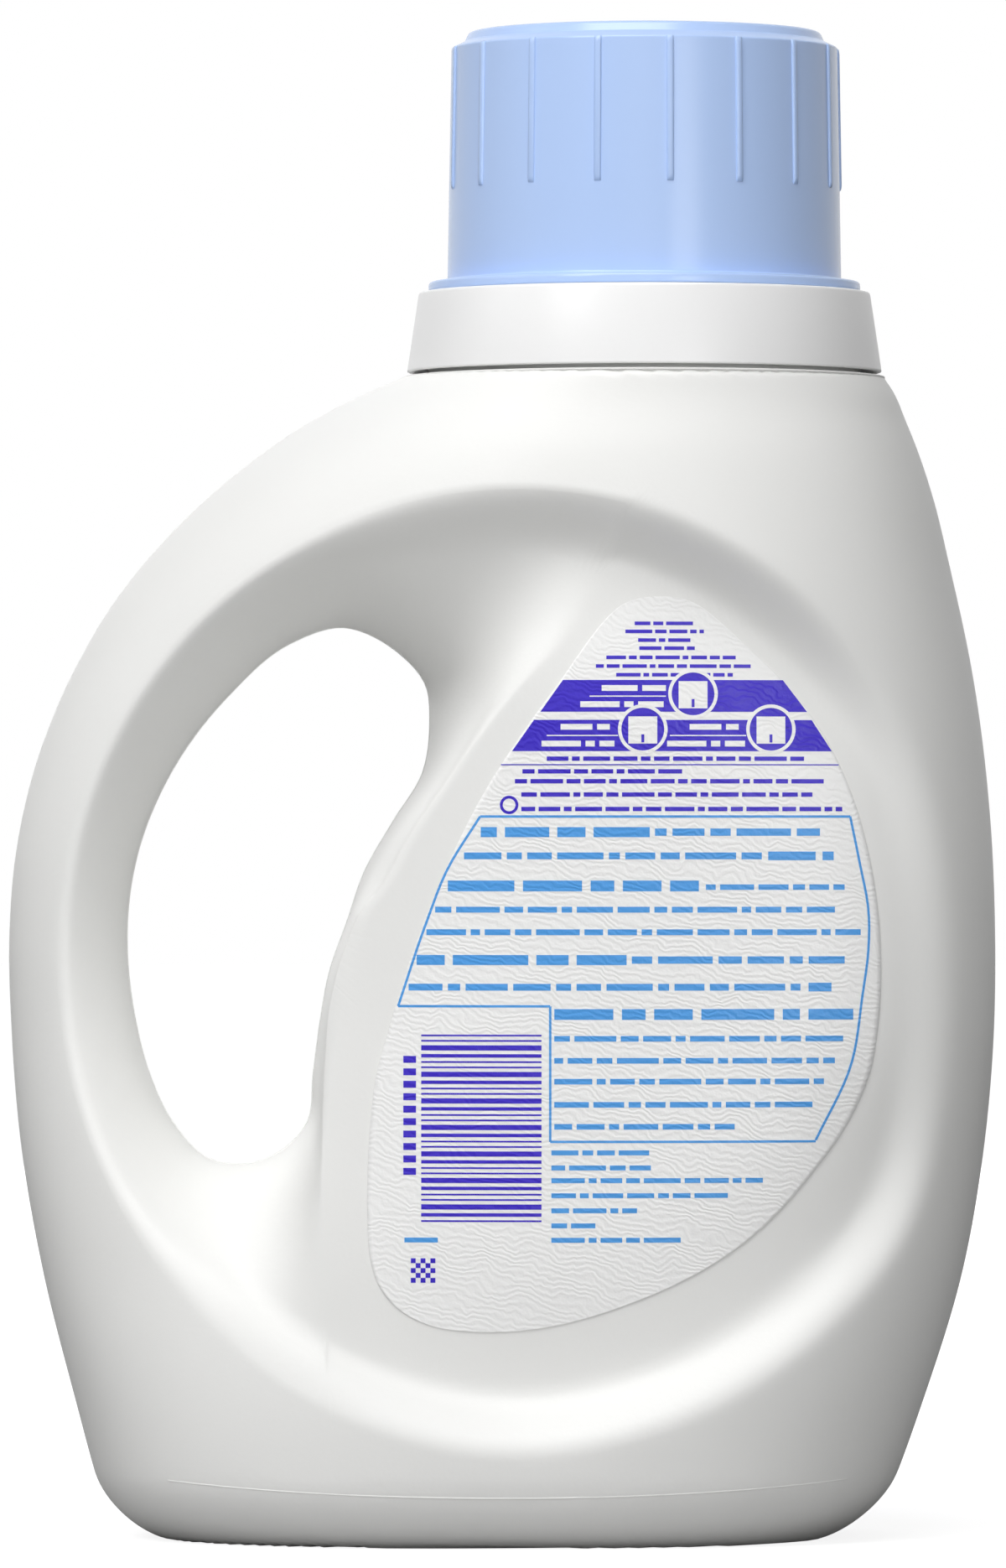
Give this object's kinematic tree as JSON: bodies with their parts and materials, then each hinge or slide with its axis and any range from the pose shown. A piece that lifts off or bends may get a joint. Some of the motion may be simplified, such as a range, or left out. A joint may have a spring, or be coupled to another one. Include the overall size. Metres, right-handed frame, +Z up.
{
  "type": "laundry detergent bottle",
  "caption": "Plastic detergent bottle with a through handle, a recessed label panel on each face, a pouring collar with a spout, and a measuring cup as its closure.",
  "frame": {"origin": "on the standing face, under the middle of the overall width and depth", "axes": "+Z up, handle towards -X, pouring side towards +X, the pictured label faces -Y"},
  "size_m": [0.1738, 0.0964, 0.2652],
  "materials": {
    "bottle": "satin, translucent white",
    "collar": "satin white",
    "cap": "translucent light blue",
    "label": null
  },
  "bodies": {
    "bottle": {"bottle": "bottle", "pour_collar": "collar", "front_label": "label", "back_label": "label"},
    "cap": {"measuring_cap": "cap"}
  },
  "joints": [
    {"name": "cap_lift", "type": "slide", "parent": "bottle", "child": "cap", "axis": [0, 0, 1], "range_m": [0, 0.06]}
  ]
}
